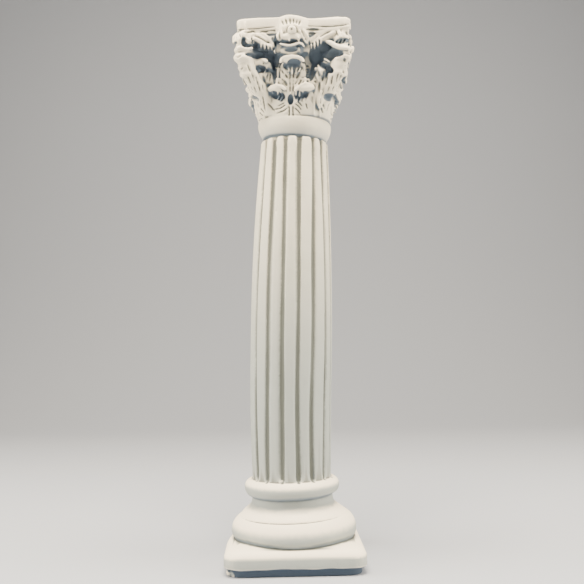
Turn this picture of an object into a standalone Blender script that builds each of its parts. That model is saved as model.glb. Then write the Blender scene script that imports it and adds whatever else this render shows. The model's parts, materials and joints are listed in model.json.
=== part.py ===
"""Small plaster column: square plinth, turned base, fluted shaft and leafy capital, cast in one piece.

Metres, +Z up. The origin is the centre of the plinth's underside and the front looks along -Y.
The casting isn't true: its shaft bows, and its mouldings lean with it.
"""

import math

import bmesh
import bpy

# Plinth
PLINTH_SIDE = 0.0645
PLINTH_HEIGHT = 0.0122
PLINTH_EDGE_DROP = 0.0034
PLINTH_PILLOW = 0.0130
PLINTH_CORNER_RADIUS = 0.0066
PLINTH_TURN = math.radians(1.3)
FOOT_BAND_HEIGHT = 0.0036
FOOT_BAND_INSET = 0.0013
FOOT_CHIP = 0.0012

# Base mouldings, each height measured up from the moulding below it
LOWER_TORUS_HEIGHT = 0.0092
LOWER_TORUS_RADIUS = 0.0299
LOWER_TORUS_BULGE = 0.0066
LOWER_TORUS_SINK = 0.0028
SHELF_HEIGHT = 0.0029
SHELF_RADIUS = 0.0248
SHELF_SWELL = 0.0002
SCORE_DEPTH = 0.0004
SCOTIA_HEIGHT = 0.0061
SCOTIA_RADIUS = 0.01945
SCOTIA_FLARE = 0.0007
UPPER_TORUS_HEIGHT = 0.0088
UPPER_TORUS_RADIUS = 0.0228
UPPER_TORUS_BULGE = 0.0036

# Shaft
SHAFT_HEIGHT = 0.1636
SHAFT_FOOT_RADIUS = 0.0189
SHAFT_BELLY_RADIUS = 0.01985
SHAFT_BELLY_HEIGHT = 0.0646
SHAFT_TOP_RADIUS = 0.0163
FLUTES = 16
FLUTE_WIDTH = 0.0023
FLUTE_DEPTH = 0.0013
FLUTE_TURN = math.radians(9.4)
FLUTE_RUN_OUT = 0.0040
TONGUE_LENGTH = 0.0050
TONGUE_DROP = 0.0007

# Neck ring and bell of the capital
NECK_RING_HEIGHT = 0.0089
NECK_RING_RADIUS = 0.0180
BELL_HEIGHT = 0.0364
BELL_FOOT_RADIUS = 0.0172
BELL_WAIST_RADIUS = 0.0188
BELL_TOP_RADIUS = 0.0226
CAPITAL_TURN = math.radians(-1.2)

# Abacus
ABACUS_WIDTH = 0.0534
ABACUS_HEIGHT = 0.0076
ABACUS_HOLLOW = 0.0012
ABACUS_CORNER_RADIUS = 0.0020
ABACUS_ROUNDING = 0.0009
ABACUS_FILLET = 0.0018
ABACUS_FILLET_INSET = 0.0006
ABACUS_GROOVE = 0.0011

# Leaves. A lip is the tip that curls out, and a leaf's height is that of its lip above the neck ring
LOWER_LEAF_REACH = 0.0231
LOWER_LEAF_HEIGHT = 0.0134
LOWER_LEAF_WIDTH = 0.0132
LOWER_LEAF_SWELL = 0.0018
LOWER_LEAF_SPREAD = math.radians(18.5)
LOWER_LEAF_TURN = math.radians(-5.5)
CENTRE_LEAF_REACH = 0.0266
CENTRE_LEAF_HEIGHT = 0.0270
CENTRE_LEAF_WIDTH = 0.0118
CENTRE_LEAF_SWELL = 0.0032
CENTRE_LEAF_FOOT = 0.0080
CENTRE_LEAF_TURN = math.radians(-3.5)
SIDE_LEAF_REACH = 0.0280
SIDE_LEAF_HEIGHT = 0.0252
SIDE_LEAF_WIDTH = 0.0108
SIDE_LEAF_SWELL = 0.0026
SIDE_LEAF_FOOT = 0.0060
SIDE_LEAF_SPREAD = math.radians(37)
CORNER_LEAF_REACHES = (0.0375, 0.0325, 0.0325, 0.0382)
CORNER_LEAF_HEIGHT = 0.0316
CORNER_LEAF_WIDTH = 0.0084
CORNER_LEAF_SWELL = 0.0040
CORNER_LEAF_FOOT = 0.0100
CORNER_LIP_THICKNESS = 0.0086
LIP_THICKNESS = 0.0022
LIP_HOLLOW = 0.0034
LIP_SHARE = 0.74
LIP_ARCH = 0.85
BROAD_LEAF_STATIONS = (-1, -0.7, -0.4, 0, 0.4, 0.7, 1)
NARROW_LEAF_STATIONS = (-1, -0.55, 0, 0.55, 1)
LEAF_ROOT = 0.0004

# Flower at the middle of each side of the abacus
FLOWER_REACH = 0.0282
FLOWER_WIDTH = 0.0165
FLOWER_RISE = 0.0020
FLOWER_DROP = 0.0105
FLOWER_STEM = 0.0050
FLOWER_STEM_SWELL = 0.0012
FLOWER_DEPTH = 0.0060
PETAL_ARCH = 0.0040

# Corner scrolls and the stems that run up to them
SCROLL_REACHES = (0.0354, 0.0356, 0.0356, 0.0376)
SCROLL_RADIUS = 0.0044
SCROLL_DROP = 0.0020
SCROLL_WIDTH = 0.0084
SCROLL_EYE_DEPTH = 0.0014
STEM_THICKNESS = 0.0027
STEM_RISE = 0.0076
STEM_FOOT_TURN = math.radians(17)
STEM_TIP_TURN = math.radians(6)

# Centre line of the bowed casting: height, then how far it has moved to the right
CENTRE_LINE = (
    (0.000, 0.0000),
    (0.014, 0.0001),
    (0.024, -0.0002),
    (0.036, -0.0006),
    (0.070, -0.0006),
    (0.104, 0.0002),
    (0.150, 0.0014),
    (0.205, 0.0033),
    (0.225, 0.0038),
    (0.262, 0.0042),
)

TURNED_SIDES = 36
BELL_SIDES = 24
BURIED = 0.0015

SHELF_FOOT = PLINTH_HEIGHT + LOWER_TORUS_HEIGHT
SCOTIA_FOOT = SHELF_FOOT + SHELF_HEIGHT
UPPER_TORUS_FOOT = SCOTIA_FOOT + SCOTIA_HEIGHT
SHAFT_FOOT = UPPER_TORUS_FOOT + UPPER_TORUS_HEIGHT
NECK_FOOT = SHAFT_FOOT + SHAFT_HEIGHT
BELL_FOOT = NECK_FOOT + NECK_RING_HEIGHT
ABACUS_FOOT = BELL_FOOT + BELL_HEIGHT
ABACUS_TOP = ABACUS_FOOT + ABACUS_HEIGHT


def ease(t):
    t = min(1.0, max(0.0, t))
    return t * t * (3 - 2 * t)


def round_arch(t):
    """Height of a half circle of radius 1 at t from its middle, and none beyond its ends."""
    return math.sqrt(max(0.0, 1 - t * t))


def centre_shift(z):
    """Sideways shift of the bowed centre line at height z, on a smooth curve through its stations."""
    last = len(CENTRE_LINE) - 1
    z = min(max(z, CENTRE_LINE[0][0]), CENTRE_LINE[-1][0])
    i = next(k for k in range(last) if z <= CENTRE_LINE[k + 1][0])
    (z0, x0), (z1, x1) = CENTRE_LINE[i], CENTRE_LINE[i + 1]
    before, after = CENTRE_LINE[max(i - 1, 0)], CENTRE_LINE[min(i + 2, last)]
    run = z1 - z0
    slope0 = (x1 - before[1]) / (z1 - before[0]) * run
    slope1 = (after[1] - x0) / (after[0] - z0) * run
    t = (z - z0) / run
    return (
        (2 * t**3 - 3 * t**2 + 1) * x0
        + (t**3 - 2 * t**2 + t) * slope0
        + (3 * t**2 - 2 * t**3) * x1
        + (t**3 - t**2) * slope1
    )


def centre_lean(z):
    """Slope of the bowed centre line at height z."""
    step = 0.001
    return (centre_shift(z + step) - centre_shift(z - step)) / (2 * step)


def as_cast(x, y, z):
    """A point of the true column, moved to where the bowed casting has it. The plinth stays level."""
    leaning = ease((z - PLINTH_HEIGHT / 2) / (PLINTH_HEIGHT / 2))
    return x + centre_shift(z), y, z - x * centre_lean(z) * leaning


def polar(radius, angle, z):
    """A point at this radius, with the angle measured from the front towards +X."""
    return radius * math.sin(angle), -radius * math.cos(angle), z


def beside(out, along, angle, z):
    """A point this far out towards the angle, and this far along the line square to it."""
    return (
        out * math.sin(angle) + along * math.cos(angle),
        -out * math.cos(angle) + along * math.sin(angle),
        z,
    )


def lofted(name, sections, bowed=True):
    """One closed solid through sections of equally many points, each section closed on itself."""
    mesh = bpy.data.meshes.new(name)
    solid = bmesh.new()
    rings = []
    for section in sections:
        points = [as_cast(*p) for p in section] if bowed else section
        rings.append([solid.verts.new(p) for p in points])
    count = len(sections[0])
    for low, high in zip(rings, rings[1:]):
        for i in range(count):
            j = (i + 1) % count
            solid.faces.new((low[i], low[j], high[j], high[i]))
    solid.faces.new(list(reversed(rings[0])))
    solid.faces.new(rings[-1])
    bmesh.ops.triangulate(solid, faces=[f for f in solid.faces if len(f.verts) > 4])
    if solid.calc_volume(signed=True) < 0:
        bmesh.ops.reverse_faces(solid, faces=solid.faces)
    solid.to_mesh(mesh)
    solid.free()
    return bpy.data.objects.new(name, mesh)


def turned(name, profile, sides):
    """A solid of revolution from its profile's points (radius, height), bottom to top."""
    circle = [2 * math.pi * i / sides for i in range(sides)]
    return lofted(name, [[polar(r, a, z) for a in circle] for r, z in profile])


def bulge(radius, depth, foot, height, steps, start=-90, end=90):
    """Profile points up the outside of a rounded moulding that stands out by depth."""
    middle, half = foot + height / 2, height / 2
    points = []
    for i in range(steps + 1):
        a = math.radians(start + (end - start) * i / steps)
        points.append((radius - depth + depth * math.cos(a), middle + half * math.sin(a)))
    return points


def square_section(half, corner, z, turn, hollow=0.0, per_corner=3, per_side=2):
    """Points of a square with rounded corners, its sides drawn in by hollow at their middles."""
    points = []
    for k in range(4):
        angle = turn + (k + 1) * math.pi / 2
        for i in range(per_corner):
            a = math.pi / 2 * (i / (per_corner - 1) - 1)
            out = half - corner + corner * math.cos(a)
            points.append(beside(out, -half + corner + corner * math.sin(a), angle, z))
        for i in range(1, per_side + 1):
            t = 2 * i / (per_side + 1) - 1
            points.append(beside(half - hollow * (1 - t * t), t * (half - corner), angle, z))
    return points


def chipped(point):
    """The front left corner of the foot has lost a flake."""
    x, y, z = point
    flat_end = PLINTH_SIDE / 2 - PLINTH_CORNER_RADIUS - FOOT_BAND_INSET
    near = x < -flat_end and y < -flat_end
    return (x + FOOT_CHIP, y + FOOT_CHIP, z) if near else point


def plinth():
    """Square block with a pillowed top, and a band round its foot that slopes in."""
    half, corner, top = PLINTH_SIDE / 2, PLINTH_CORNER_RADIUS, PLINTH_HEIGHT
    edge = top - PLINTH_EDGE_DROP
    foot = square_section(half - FOOT_BAND_INSET, corner, 0.0, PLINTH_TURN)
    sections = [[chipped(p) for p in foot]]
    levels = (
        (half, FOOT_BAND_HEIGHT),
        (half, edge - 0.4 * PLINTH_EDGE_DROP),
        (half - 0.05 * PLINTH_PILLOW, edge),
        (half - 0.17 * PLINTH_PILLOW, edge + 0.35 * PLINTH_EDGE_DROP),
        (half - 0.50 * PLINTH_PILLOW, edge + 0.75 * PLINTH_EDGE_DROP),
        (half - PLINTH_PILLOW, top),
    )
    sections += [square_section(size, corner, z, PLINTH_TURN) for size, z in levels]
    return lofted("plinth_block", sections, bowed=False)


def base_mouldings():
    """Lower torus, scored shelf, scotia and upper torus, turned as one."""
    top_angle = 65
    torus_foot = PLINTH_HEIGHT - LOWER_TORUS_SINK
    torus_height = (SHELF_FOOT - torus_foot) * 2 / (1 + math.sin(math.radians(top_angle)))
    profile = [(LOWER_TORUS_RADIUS - LOWER_TORUS_BULGE, PLINTH_HEIGHT / 2)]
    profile += bulge(LOWER_TORUS_RADIUS, LOWER_TORUS_BULGE, torus_foot, torus_height, 6, -60, top_angle)
    profile.append((SHELF_RADIUS - SCORE_DEPTH, SHELF_FOOT + SCORE_DEPTH / 2))
    shelf_steps = 3
    shelf_drop = SHELF_RADIUS - SCOTIA_RADIUS - SCOTIA_FLARE
    for i in range(shelf_steps + 1):
        t = i / shelf_steps
        swell = SHELF_SWELL * math.sin(math.pi * t)
        height = SCORE_DEPTH + (SHELF_HEIGHT - SCORE_DEPTH) * t
        profile.append((SHELF_RADIUS - shelf_drop * t + swell, SHELF_FOOT + height + swell))
    profile.append((SCOTIA_RADIUS, SCOTIA_FOOT + SCOTIA_HEIGHT / 2))
    profile += bulge(UPPER_TORUS_RADIUS, UPPER_TORUS_BULGE, UPPER_TORUS_FOOT, UPPER_TORUS_HEIGHT, 5, -75)
    return turned("base_mouldings", profile, TURNED_SIDES)


def shaft_radius(height):
    """Outer radius of the shaft at this height above its foot: fattest at the belly."""
    if height < SHAFT_BELLY_HEIGHT:
        t = 1 - height / SHAFT_BELLY_HEIGHT
        return SHAFT_BELLY_RADIUS - (SHAFT_BELLY_RADIUS - SHAFT_FOOT_RADIUS) * t * t
    t = (height - SHAFT_BELLY_HEIGHT) / (SHAFT_HEIGHT - SHAFT_BELLY_HEIGHT)
    return SHAFT_BELLY_RADIUS - (SHAFT_BELLY_RADIUS - SHAFT_TOP_RADIUS) * t * t


def shaft():
    """Narrow flutes between broad flat ridges, which round off like tongues under the neck ring."""
    pitch = 2 * math.pi / FLUTES
    tongue_foot = SHAFT_HEIGHT - TONGUE_LENGTH
    rows = 5
    heights = [-2 * BURIED, 0.3 * FLUTE_RUN_OUT]
    heights += [FLUTE_RUN_OUT + (tongue_foot - FLUTE_RUN_OUT) * i / rows for i in range(rows + 1)]
    heights += [SHAFT_HEIGHT - TONGUE_LENGTH / 2, SHAFT_HEIGHT, SHAFT_HEIGHT + BURIED]
    sections = []
    for height in heights:
        radius = shaft_radius(min(max(height, 0), SHAFT_HEIGHT))
        radius -= TONGUE_DROP * ease((height - tongue_foot) / TONGUE_LENGTH) ** 2
        depth = FLUTE_DEPTH * ease(height / FLUTE_RUN_OUT)
        half_cut = FLUTE_WIDTH / 2 / radius
        flat = radius * math.cos(pitch / 5)
        z = SHAFT_FOOT + height
        section = []
        for k in range(FLUTES):
            middle = FLUTE_TURN + k * pitch
            section.append(polar(radius, middle - half_cut, z))
            section.append(polar(radius - depth, middle, z))
            section.append(polar(radius, middle + half_cut, z))
            section.append(polar(flat, middle + pitch / 2, z))
        sections.append(section)
    return lofted("fluted_shaft", sections)


def bell_radius(height):
    """Radius of the bare bell at this height above the neck ring."""
    waist = 0.45
    t = height / BELL_HEIGHT
    if t < waist:
        return BELL_FOOT_RADIUS + (BELL_WAIST_RADIUS - BELL_FOOT_RADIUS) * t / waist
    return BELL_WAIST_RADIUS + (BELL_TOP_RADIUS - BELL_WAIST_RADIUS) * ((t - waist) / (1 - waist)) ** 1.5


def neck_and_bell():
    ring_depth = NECK_RING_RADIUS - SHAFT_TOP_RADIUS
    profile = [(SHAFT_TOP_RADIUS - 2 * FLUTE_DEPTH, NECK_FOOT - BURIED)]
    profile.append((SHAFT_TOP_RADIUS - TONGUE_DROP, NECK_FOOT))
    for share, rise in ((0.35, 0.10), (0.75, 0.35), (1.0, 0.70), (0.96, 0.90)):
        profile.append((SHAFT_TOP_RADIUS + ring_depth * share, NECK_FOOT + NECK_RING_HEIGHT * rise))
    bell_rows = 3
    for i in range(bell_rows + 1):
        height = BELL_HEIGHT * i / bell_rows
        profile.append((bell_radius(height), BELL_FOOT + height))
    profile.append((BELL_TOP_RADIUS, ABACUS_FOOT + BURIED))
    return turned("neck_and_bell", profile, BELL_SIDES)


def leaf(name, angle, reach, height, width, swell, foot, lip_depth, stations):
    """One acanthus leaf: a body that hugs the bell, and an arched lip that curls out over a hollow."""
    sections = []
    for t in stations:
        full = round_arch(t / LIP_SHARE)
        top = height - LIP_ARCH * LIP_SHARE * width / 2 * (1 - full)
        lip = top - lip_depth
        foot_radius = bell_radius(foot)
        body = bell_radius(lip - LIP_HOLLOW) + swell * (0.6 + 0.4 * round_arch(t))
        out = body + (reach - body) * full
        hollow = body + (bell_radius(lip) + 0.2 * swell - body) * full
        outline = (
            (foot_radius - 2 * BURIED, foot - LEAF_ROOT),
            (foot_radius + LEAF_ROOT, foot - LEAF_ROOT),
            (body, lip - LIP_HOLLOW),
            (hollow, lip - 0.25 * LIP_HOLLOW + 0.5 * (lip_depth - LIP_THICKNESS)),
            (out - 0.3 * LIP_THICKNESS, lip),
            (out, lip + 0.45 * lip_depth),
            (0.6 * out + 0.4 * body, top),
            (bell_radius(lip) - BURIED, top),
        )
        section = []
        for radius, z in outline:
            across = width / 2 * t / max(radius, 0.6 * reach)
            section.append(polar(radius, angle + across, BELL_FOOT + z))
        sections.append(section)
    return lofted(name, sections)


def abacus():
    """Slab with drawn-in sides over a narrow fillet, with a groove between them."""
    half = ABACUS_WIDTH / 2
    split = ABACUS_FOOT + ABACUS_FILLET
    step = ABACUS_FILLET / 4
    levels = (
        (half - 2 * ABACUS_GROOVE, ABACUS_FOOT),
        (half - ABACUS_FILLET_INSET, ABACUS_FOOT + step),
        (half - ABACUS_FILLET_INSET, split - step),
        (half - ABACUS_GROOVE, split),
        (half, split + step),
        (half, ABACUS_TOP - ABACUS_ROUNDING),
        (half - ABACUS_ROUNDING, ABACUS_TOP),
    )
    sections = []
    for size, z in levels:
        section = square_section(size, ABACUS_CORNER_RADIUS, z, CAPITAL_TURN, ABACUS_HOLLOW, per_side=3)
        sections.append(section)
    return lofted("abacus_slab", sections)


def flower(name, angle):
    """Flower on the side of the abacus: a dome with a petal below that overhangs its stem."""
    stations = 7
    flat = ABACUS_WIDTH / 2 - ABACUS_HOLLOW - LEAF_ROOT
    lip = ABACUS_TOP - FLOWER_DROP
    core = BELL_TOP_RADIUS - 2 * BURIED
    sections = []
    for j in range(stations):
        t = 2 * j / (stations - 1) - 1
        full = round_arch(t)
        top = ABACUS_TOP - LEAF_ROOT + (FLOWER_RISE + LEAF_ROOT) * full
        out = flat + (FLOWER_REACH - flat) * full
        petal = lip + PETAL_ARCH * (1 - full)
        outline = (
            (core, lip - FLOWER_STEM),
            (BELL_TOP_RADIUS + LEAF_ROOT, lip - FLOWER_STEM),
            (BELL_TOP_RADIUS + LEAF_ROOT + FLOWER_STEM_SWELL * full, lip - 0.3 * FLOWER_STEM),
            (BELL_TOP_RADIUS - LEAF_ROOT, petal),
            (out - 0.2 * FLOWER_DEPTH, petal),
            (out, (lip + ABACUS_TOP) / 2),
            (out - 0.2 * FLOWER_DEPTH, top),
            (out - FLOWER_DEPTH, ABACUS_TOP - LEAF_ROOT),
        )
        sections.append([beside(r, FLOWER_WIDTH / 2 * t, angle, z) for r, z in outline])
    return lofted(name, sections)


def scroll(name, angle, reach):
    """Corner scroll under the abacus: a short drum across the diagonal, its eyes sunk at both ends."""
    sides = 8
    centre_z = ABACUS_FOOT - SCROLL_DROP
    half = SCROLL_WIDTH / 2
    eye = half - SCROLL_EYE_DEPTH
    rings = ((eye, 0.35), (half, 0.65), (eye + 0.7 * SCROLL_EYE_DEPTH, 1.0))
    rings += tuple((-along, share) for along, share in reversed(rings))
    sections = []
    for along, share in rings:
        section = []
        for i in range(sides):
            a = 2 * math.pi * (i + 0.5) / sides
            out = reach - SCROLL_RADIUS + SCROLL_RADIUS * share * math.cos(a)
            section.append(beside(out, along, angle, centre_z + SCROLL_RADIUS * share * math.sin(a)))
        sections.append(section)
    return lofted(name, sections)


def stem(name, corner_angle, side, reach):
    """Stem that sweeps from beside the flower out to the scroll at the corner."""
    steps, sides = 4, 5
    foot_angle = corner_angle - side * (math.pi / 4 - STEM_FOOT_TURN)
    tip_angle = corner_angle - side * STEM_TIP_TURN
    foot_radius = BELL_TOP_RADIUS - LEAF_ROOT
    tip_radius = reach - SCROLL_RADIUS
    foot_z = ABACUS_FOOT - 0.35 * STEM_THICKNESS - STEM_RISE
    sections = []
    for i in range(steps + 1):
        t = i / steps
        angle = foot_angle + (tip_angle - foot_angle) * t
        radius = foot_radius + (tip_radius - foot_radius) * t**1.3
        z = foot_z + STEM_RISE * math.sin(math.pi / 2 * t)
        half = STEM_THICKNESS * (0.5 + 0.12 * t)
        turns = [2 * math.pi * k / sides for k in range(sides)]
        sections.append([polar(radius + half * math.cos(a), angle, z + half * math.sin(a)) for a in turns])
    return lofted(name, sections)


def capital_side(k):
    """The leaves, stems, flower and scroll of one side of the capital, counted round from the front."""
    quarter = k * math.pi / 2
    face = CAPITAL_TURN + quarter
    corner = face + math.pi / 4
    scroll_reach = SCROLL_REACHES[k]
    centre = (
        CENTRE_LEAF_REACH,
        CENTRE_LEAF_HEIGHT,
        CENTRE_LEAF_WIDTH,
        CENTRE_LEAF_SWELL,
        CENTRE_LEAF_FOOT,
        LIP_THICKNESS,
        BROAD_LEAF_STATIONS,
    )
    diagonal = (
        CORNER_LEAF_REACHES[k],
        CORNER_LEAF_HEIGHT,
        CORNER_LEAF_WIDTH,
        CORNER_LEAF_SWELL,
        CORNER_LEAF_FOOT,
        CORNER_LIP_THICKNESS,
        NARROW_LEAF_STATIONS,
    )
    lower = (
        LOWER_LEAF_REACH,
        LOWER_LEAF_HEIGHT,
        LOWER_LEAF_WIDTH,
        LOWER_LEAF_SWELL,
        0.0,
        LIP_THICKNESS,
        BROAD_LEAF_STATIONS,
    )
    inner = (
        SIDE_LEAF_REACH,
        SIDE_LEAF_HEIGHT,
        SIDE_LEAF_WIDTH,
        SIDE_LEAF_SWELL,
        SIDE_LEAF_FOOT,
        LIP_THICKNESS,
        NARROW_LEAF_STATIONS,
    )
    pieces = [
        flower(f"flower_{k}", face),
        scroll(f"scroll_{k}", corner, scroll_reach),
        leaf(f"centre_leaf_{k}", CENTRE_LEAF_TURN + quarter, *centre),
        leaf(f"corner_leaf_{k}", corner, *diagonal),
    ]
    for side, word in ((-1, "left"), (1, "right")):
        low_angle = LOWER_LEAF_TURN + quarter + side * LOWER_LEAF_SPREAD
        pieces.append(leaf(f"lower_leaf_{k}_{word}", low_angle, *lower))
        pieces.append(leaf(f"side_leaf_{k}_{word}", face + side * SIDE_LEAF_SPREAD, *inner))
        pieces.append(stem(f"stem_{k}_{word}", corner, side, scroll_reach))
    return pieces


def plaster():
    material = bpy.data.materials.new("cast_plaster")
    material.use_nodes = True
    shader = material.node_tree.nodes["Principled BSDF"]
    shader.inputs["Base Color"].default_value = (0.76, 0.74, 0.66, 1)
    shader.inputs["Roughness"].default_value = 0.75
    shader.inputs["Metallic"].default_value = 0.0
    return material


def clear_scene():
    for old in list(bpy.data.objects):
        bpy.data.objects.remove(old, do_unlink=True)


def main():
    clear_scene()
    forms = bpy.data.collections.new("forms")
    bpy.context.scene.collection.children.link(forms)
    pieces = [plinth(), base_mouldings(), neck_and_bell(), abacus()]
    for k in range(4):
        pieces += capital_side(k)
    for piece in pieces:
        forms.objects.link(piece)
        piece.hide_render = True
        piece.display_type = "WIRE"
    column = shaft()
    column.name = "plaster_column"
    bpy.context.scene.collection.objects.link(column)
    column.data.materials.append(plaster())
    union = column.modifiers.new("one_casting", "BOOLEAN")
    union.operation = "UNION"
    union.operand_type = "COLLECTION"
    union.collection = forms
    union.solver = "MANIFOLD"
    column.data.shade_smooth()
    column.data.set_sharp_from_angle(angle=math.radians(40))


main()
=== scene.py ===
# The looks of the cast plaster column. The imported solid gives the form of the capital, and the
# finer relief is modelled on it in a grid of small cells, as clay is added and cut away.
import json
import math
import bmesh
import bpy
import numpy as np
import openvdb as vdb
from mathutils import Matrix, Vector

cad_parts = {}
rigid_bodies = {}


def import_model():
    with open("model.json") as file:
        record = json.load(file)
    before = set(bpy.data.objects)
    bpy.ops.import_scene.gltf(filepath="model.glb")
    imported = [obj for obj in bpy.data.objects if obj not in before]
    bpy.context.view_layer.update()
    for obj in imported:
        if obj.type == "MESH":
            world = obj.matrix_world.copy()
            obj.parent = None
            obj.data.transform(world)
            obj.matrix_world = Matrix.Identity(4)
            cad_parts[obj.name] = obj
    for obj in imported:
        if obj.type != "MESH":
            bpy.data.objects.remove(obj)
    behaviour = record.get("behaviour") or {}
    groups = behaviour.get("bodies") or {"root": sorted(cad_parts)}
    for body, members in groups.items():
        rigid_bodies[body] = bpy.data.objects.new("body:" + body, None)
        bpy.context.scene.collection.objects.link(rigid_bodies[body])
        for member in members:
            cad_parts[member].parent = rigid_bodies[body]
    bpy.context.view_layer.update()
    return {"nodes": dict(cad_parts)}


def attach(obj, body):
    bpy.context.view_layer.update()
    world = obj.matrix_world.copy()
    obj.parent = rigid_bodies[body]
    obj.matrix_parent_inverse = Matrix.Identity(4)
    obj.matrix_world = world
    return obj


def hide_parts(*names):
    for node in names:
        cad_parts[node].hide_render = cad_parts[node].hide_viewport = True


for spare in list(bpy.data.objects):
    bpy.data.objects.remove(spare)
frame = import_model()
print("frame loaded")

# The camera of the photograph
view = dict(
    frame=584, focal=800.0,  # px; the frame is as tall as it is wide
    place=(0.9, -392.0, 104.95),  # mm
    tiltUp=3.434, roll=0.9,  # degrees
    sensor=36,  # mm
)


def makeObject(name, data):
    made = bpy.data.objects.new(name, data)
    bpy.context.scene.collection.objects.link(made)
    return made


def cameraTurn():
    turn = Matrix.Rotation(math.radians(90 + view["tiltUp"]), 4, "X")
    return turn @ Matrix.Rotation(-math.radians(view["roll"]), 4, "Z")


def makeCamera():
    lens = bpy.data.cameras.new("photoCamera")
    lens.sensor_width = view["sensor"]
    lens.lens = view["focal"] / view["frame"] * view["sensor"]
    camera = makeObject("photoCamera", lens)
    place = Vector(view["place"]) / 1000
    camera.matrix_world = Matrix.Translation(place) @ cameraTurn()
    bpy.context.scene.camera = camera


makeCamera()
print("camera placed")

# The grid that the casting is modelled in, in mm
clay = dict(
    cell=0.25, low=(-34.25, -34.25, -1.5), cells=(276, 276, 1045),
    band=1.8,  # distances are kept no further than this from the surface
)
cell, band = clay["cell"], clay["band"]
low = np.array(clay["low"])
xs, ys, zs = [(low[i] + cell * np.arange(clay["cells"][i])).astype(np.float32) for i in range(3)]
field = np.full(clay["cells"], band, np.float32)

# How far the bowed casting's centre line has moved to the right at each height, in mm
bow = dict(
    heights=(0, 14, 24, 36, 70, 104, 150, 205, 225, 262),
    shifts=(0, 0.1, -0.2, -0.6, -0.6, 0.2, 1.4, 3.3, 3.8, 4.2),
)


def bowShift(z):
    hs, ss = bow["heights"], bow["shifts"]
    last = len(hs) - 1
    z = min(max(z, hs[0]), hs[-1])
    i = next(k for k in range(last) if z <= hs[k + 1])
    a, b = max(i - 1, 0), min(i + 2, last)
    run = hs[i + 1] - hs[i]
    slope0 = (ss[i + 1] - ss[a]) / (hs[i + 1] - hs[a]) * run
    slope1 = (ss[b] - ss[i]) / (hs[b] - hs[i]) * run
    t = (z - hs[i]) / run
    return ((2 * t**3 - 3 * t**2 + 1) * ss[i] + (t**3 - 2 * t**2 + t) * slope0
            + (3 * t**2 - 2 * t**3) * ss[i + 1] + (t**3 - t**2) * slope1)


shiftAt = np.array([bowShift(z) for z in zs])
leanAt = np.gradient(shiftAt, cell)


def shiftOf(z):
    return np.interp(z, zs, shiftAt)


def leanOf(z):
    return np.interp(z, zs, leanAt)


def layersBetween(lowest, highest):
    return [k for k in range(len(zs)) if lowest < zs[k] < highest]


# For the cells of one layer: how far right of the centre line they are, and their height along it
def layer(k):
    x = xs[:, None] - shiftAt[k]
    return x, zs[k] + x * leanAt[k]


def ease(t):
    t = np.clip(t, 0.0, 1.0)
    return t * t * (3 - 2 * t)


def cosSin(degrees):
    return math.cos(math.radians(degrees)), math.sin(math.radians(degrees))


def dot(a, b):
    return a[0] * b[0] + a[1] * b[1] + a[2] * b[2]


def added(a, b, soft):
    h = np.clip(0.5 + 0.5 * (b - a) / soft, 0, 1)
    return b + (a - b) * h - soft * h * (1 - h)


def cutAway(a, b, soft):
    return -added(-a, b, soft)


def around(lowest, highest):
    first = np.maximum(np.floor((lowest - low) / cell).astype(int), 0)
    last = np.minimum(np.ceil((highest - low) / cell).astype(int) + 1, field.shape)
    if (last <= first).any():
        return None
    part = tuple(slice(a, b) for a, b in zip(first, last))
    return part, xs[part[0], None, None], ys[None, part[1], None], zs[None, None, part[2]]


def work(part, shape, raised, soft):
    shape = np.minimum(shape, band)
    field[part] = added(field[part], shape, soft) if raised else cutAway(field[part], shape, soft)


# A run of round beads drawn through points, each with its own radius
def draw(points, radii, raised, soft):
    for p, q, rp, rq in zip(points, points[1:], radii, radii[1:]):
        reach = max(rp, rq) + soft + cell
        box = around(np.minimum(p, q) - reach, np.maximum(p, q) + reach)
        if box is None:
            continue
        part, x, y, z = box
        along = q - p
        length = max(float(along @ along), 1e-6)
        off = (x - p[0], y - p[1], z - p[2])
        t = np.clip(dot(off, along) / length, 0, 1)
        off = [o - t * a for o, a in zip(off, along)]
        work(part, np.sqrt(dot(off, off)) - (rp + (rq - rp) * t), raised, soft)


# An egg-shaped lump, or a cup with steep sides, from its centre, its axes as rows (the last is the
# cup's depth) and its half sizes
def lump(centre, axes, sizes, raised, soft, cup=False):
    reach = np.abs(axes * np.array(sizes)[:, None]).sum(0) + soft + cell
    box = around(centre - reach, centre + reach)
    if box is None:
        return
    part, x, y, z = box
    off = (x - centre[0], y - centre[1], z - centre[2])
    across, up, deep = [dot(off, axis) / size for axis, size in zip(axes, sizes)]
    flat = across**2 + up**2
    steep = (across / sizes[0]) ** 2 + (up / sizes[1]) ** 2
    if cup:
        level = (flat**2 + deep**4) ** 0.25
        slope = np.sqrt(flat**2 * steep + (deep**3 / sizes[2]) ** 2) / np.maximum(level, 1e-3) ** 3
    else:
        level = np.sqrt(flat + deep**2)
        slope = np.sqrt(steep + (deep / sizes[2]) ** 2) / np.maximum(level, 1e-3)
    work(part, (level - 1) / np.maximum(slope, 1e-3), raised, soft)


# Distances to a turned form, from its profile's points (radius, height) going up. Tilt gives how
# much the form rises to the right at a height. They are worked out as far out as reach, and by the
# margin above and below.
turning = dict(reach=52, margin=3, far=99.0)


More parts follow.
